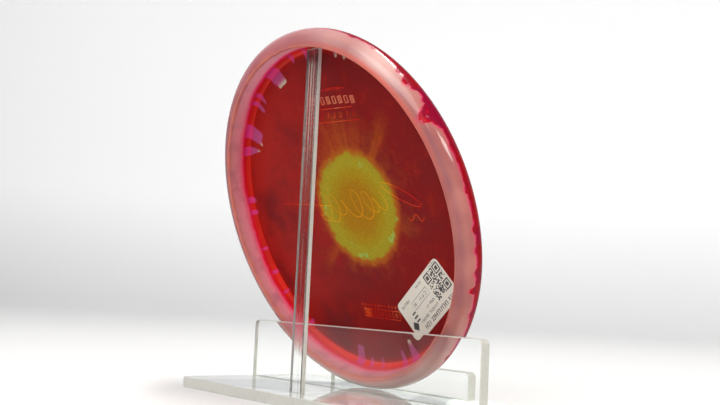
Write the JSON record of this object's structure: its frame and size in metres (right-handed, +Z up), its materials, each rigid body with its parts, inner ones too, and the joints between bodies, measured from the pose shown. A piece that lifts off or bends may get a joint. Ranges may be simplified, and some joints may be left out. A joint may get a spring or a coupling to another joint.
{
  "type": "golf disc on a display stand",
  "caption": "Translucent dyed flying disc with a deep rim and a domed plate, leaning on a clear acrylic stand with a slim post, a low back panel and a front lip.",
  "frame": {"origin": "centre of the base plate's underside", "axes": "+Z up, +X across the stand, +Y the way the disc's stamped top face looks; the hollow underside and the post face -Y"},
  "size_m": [0.2146, 0.1, 0.2058],
  "materials": {
    "dyed_plastic": "translucent moulded plastic, dyed red with a yellow-green centre and a pale pink rim",
    "label_paper": "white coated sticker with black print",
    "stamp_foil": "hot-stamped metallic foil, bright orange-red",
    "clear_acrylic": "clear polished sheet with pale saw-cut edges"
  },
  "bodies": {
    "stand": {"stand_base": "clear_acrylic", "stand_post": "clear_acrylic", "stand_panel": "clear_acrylic", "stand_lip": "clear_acrylic"},
    "disc": {"disc_body": "dyed_plastic", "price_label": "label_paper", "stamp_foil": "stamp_foil"}
  },
  "joints": [
    {"name": "disc_lift", "type": "slide", "parent": "stand", "child": "disc", "axis": [0, 0, 1], "range_m": [0, 0.2]}
  ]
}
